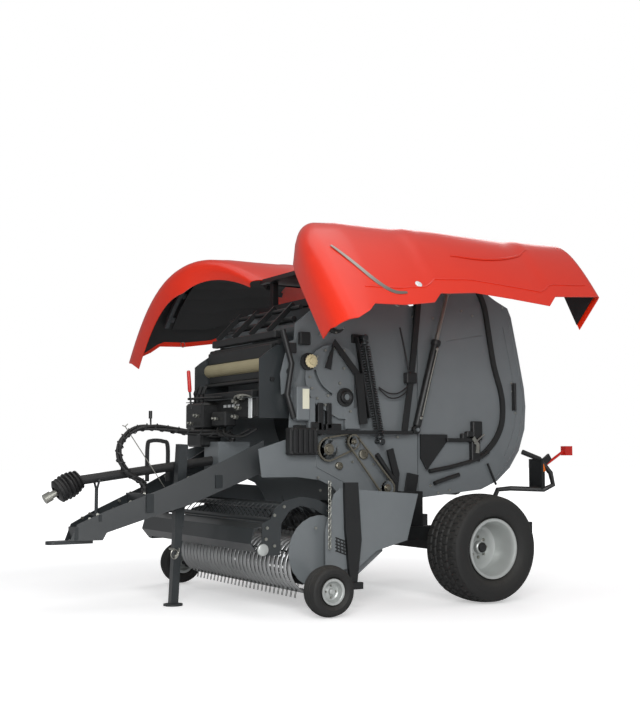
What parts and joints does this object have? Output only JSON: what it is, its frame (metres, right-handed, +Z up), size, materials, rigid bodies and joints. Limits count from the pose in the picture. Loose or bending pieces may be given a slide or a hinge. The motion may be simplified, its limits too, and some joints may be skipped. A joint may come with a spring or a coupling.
{
  "type": "round baler",
  "caption": "Towed round baler with a wide tined pick-up, round bale chamber and rear tailgate, its side hoods swung up and its parking jack down.",
  "frame": {"origin": "on the ground under the middle of the machine's box", "axes": "+X to the machine's left, +Y to its rear, +Z up"},
  "size_m": [3.8512, 4.3691, 2.9553],
  "materials": {
    "charcoal_paint": "satin",
    "black_paint": "satin",
    "red_hood_paint": "gloss",
    "tyre_rubber": "matte",
    "silver_rim_paint": "satin",
    "bright_steel": "satin",
    "black_plastic": "matte",
    "net_wrap": "matte",
    "lamp_lens": "gloss"
  },
  "bodies": {
    "chassis": {"axle_frame": "black_paint", "left_side_wall": "charcoal_paint", "right_side_wall": "charcoal_paint", "chamber_front_sheet": "charcoal_paint", "roof_frame": "black_paint", "drawbar": "charcoal_paint", "hitch_tongue": "black_paint", "jack_sleeve": "charcoal_paint", "front_cross_beam": "charcoal_paint", "upper_cross_tube": "charcoal_paint", "lower_cross_beam": "black_paint", "net_box": "charcoal_paint", "control_panel": "black_plastic", "net_roll": "net_wrap", "drive_shaft_guard": "black_plastic", "gearbox": "charcoal_paint", "quadrant_plate": "charcoal_paint", "drive_guard": "black_plastic", "chain_drive": "charcoal_paint", "front_drive_chain": "bright_steel", "rear_drive_chain": "bright_steel", "left_density_spring": "bright_steel", "right_density_spring": "bright_steel", "hose_bundle": "black_plastic", "left_lamp_bracket": "black_paint", "right_lamp_bracket": "black_paint", "left_tail_lamp": "lamp_lens", "right_tail_lamp": "lamp_lens"},
    "left_wheel": {"left_tyre": "tyre_rubber", "left_rim": "silver_rim_paint"},
    "right_wheel": {"right_tyre": "tyre_rubber", "right_rim": "silver_rim_paint"},
    "tailgate": {"left_tailgate_wall": "charcoal_paint", "right_tailgate_wall": "charcoal_paint", "tailgate_rear_sheet": "charcoal_paint"},
    "starter_roller": {"starter_roller": "black_paint"},
    "floor_roller": {"floor_roller": "black_paint"},
    "tailgate_floor_roller": {"tailgate_floor_roller": "black_paint"},
    "left_hood": {"left_hood": "red_hood_paint", "left_hood_frame": "black_plastic"},
    "right_hood": {"right_hood": "red_hood_paint", "right_hood_frame": "black_plastic"},
    "parking_jack": {"jack_leg": "black_paint"},
    "drive_shaft": {"drive_shaft_yoke": "bright_steel"},
    "pickup": {"pickup_frame": "charcoal_paint", "stripper_bands": "silver_rim_paint", "left_gauge_arm": "black_paint", "right_gauge_arm": "black_paint"},
    "pickup_reel": {"tine_reel": "black_paint"},
    "wind_guard": {"wind_guard": "charcoal_paint"},
    "left_gauge_wheel": {"left_gauge_tyre": "tyre_rubber", "left_gauge_rim": "silver_rim_paint"},
    "right_gauge_wheel": {"right_gauge_tyre": "tyre_rubber", "right_gauge_rim": "silver_rim_paint"},
    "feed_rotor": {"feed_rotor": "black_paint"},
    "left_ram_barrel": {"left_ram_barrel": "black_paint"},
    "left_ram_rod": {"left_ram_rod": "bright_steel"},
    "right_ram_barrel": {"right_ram_barrel": "black_paint"},
    "right_ram_rod": {"right_ram_rod": "bright_steel"}
  },
  "joints": [
    {"name": "left_wheel_spin", "type": "hinge", "parent": "chassis", "child": "left_wheel", "pos_m": [1.17, 0.9985, 0.425], "axis": [1, 0, 0], "continuous": true},
    {"name": "right_wheel_spin", "type": "hinge", "parent": "chassis", "child": "right_wheel", "pos_m": [-1.17, 0.9985, 0.425], "axis": [1, 0, 0], "continuous": true},
    {"name": "tailgate_hinge", "type": "hinge", "parent": "chassis", "child": "tailgate", "pos_m": [0, 0.7145, 2.6], "axis": [1, 0, 0], "range_deg": [0, 60]},
    {"name": "starter_roller_spin", "type": "hinge", "parent": "chassis", "child": "starter_roller", "pos_m": [0, 0.25317, 1.41603], "axis": [1, 0, 0], "continuous": true},
    {"name": "floor_roller_spin", "type": "hinge", "parent": "chassis", "child": "floor_roller", "pos_m": [0, 0.50891, 1.03687], "axis": [1, 0, 0], "continuous": true},
    {"name": "tailgate_roller_spin", "type": "hinge", "parent": "tailgate", "child": "tailgate_floor_roller", "pos_m": [0, 1.18085, 0.91233], "axis": [1, 0, 0], "continuous": true},
    {"name": "left_hood_hinge", "type": "hinge", "parent": "chassis", "child": "left_hood", "pos_m": [0.42, 0.2145, 2.66], "axis": [0, 1, 0], "range_deg": [0, 37]},
    {"name": "right_hood_hinge", "type": "hinge", "parent": "chassis", "child": "right_hood", "pos_m": [-0.42, 0.2145, 2.66], "axis": [0, -1, 0], "range_deg": [0, 37]},
    {"name": "parking_jack_slide", "type": "slide", "parent": "chassis", "child": "parking_jack", "axis": [0, 0.0506, 0.9987], "range_m": [0, 0.21]},
    {"name": "drive_shaft_spin", "type": "hinge", "parent": "chassis", "child": "drive_shaft", "pos_m": [0, -1.9255, 0.962], "axis": [0, -0.8732, -0.4874], "continuous": true},
    {"name": "pickup_lift", "type": "hinge", "parent": "chassis", "child": "pickup", "pos_m": [0, 0.1345, 0.6], "axis": [-1, 0, 0], "range_deg": [0, 8]},
    {"name": "pickup_reel_spin", "type": "hinge", "parent": "pickup", "child": "pickup_reel", "pos_m": [0, -0.4255, 0.33], "axis": [1, 0, 0], "continuous": true},
    {"name": "wind_guard_hinge", "type": "hinge", "parent": "pickup", "child": "wind_guard", "pos_m": [0, -0.2855, 0.72], "axis": [-1, 0, 0], "range_deg": [0, 5]},
    {"name": "left_gauge_wheel_spin", "type": "hinge", "parent": "pickup", "child": "left_gauge_wheel", "pos_m": [1.273, -0.4855, 0.185], "axis": [1, 0, 0], "continuous": true},
    {"name": "right_gauge_wheel_spin", "type": "hinge", "parent": "pickup", "child": "right_gauge_wheel", "pos_m": [-1.273, -0.4855, 0.185], "axis": [1, 0, 0], "continuous": true},
    {"name": "feed_rotor_spin", "type": "hinge", "parent": "chassis", "child": "feed_rotor", "pos_m": [0, 0.1345, 0.6], "axis": [1, 0, 0], "continuous": true},
    {"name": "left_ram_swing", "type": "hinge", "parent": "chassis", "child": "left_ram_barrel", "pos_m": [0.7, 0.7145, 1.36], "axis": [1, 0, 0], "range_deg": [0, 7.5]},
    {"name": "left_ram_slide", "type": "slide", "parent": "left_ram_barrel", "child": "left_ram_rod", "axis": [0, 0.2791, 0.9603], "range_m": [0, 0.299]},
    {"name": "right_ram_swing", "type": "hinge", "parent": "chassis", "child": "right_ram_barrel", "pos_m": [-0.7, 0.7145, 1.36], "axis": [1, 0, 0], "range_deg": [0, 7.5]},
    {"name": "right_ram_slide", "type": "slide", "parent": "right_ram_barrel", "child": "right_ram_rod", "axis": [0, 0.2791, 0.9603], "range_m": [0, 0.299]}
  ],
  "couplings": [
    {"joint": "left_ram_swing", "follows": "tailgate_hinge", "ratio": 0.1243},
    {"joint": "left_ram_slide", "follows": "tailgate_hinge", "m_per_rad": 0.2851},
    {"joint": "right_ram_swing", "follows": "tailgate_hinge", "ratio": 0.1243},
    {"joint": "right_ram_slide", "follows": "tailgate_hinge", "m_per_rad": 0.2851}
  ]
}
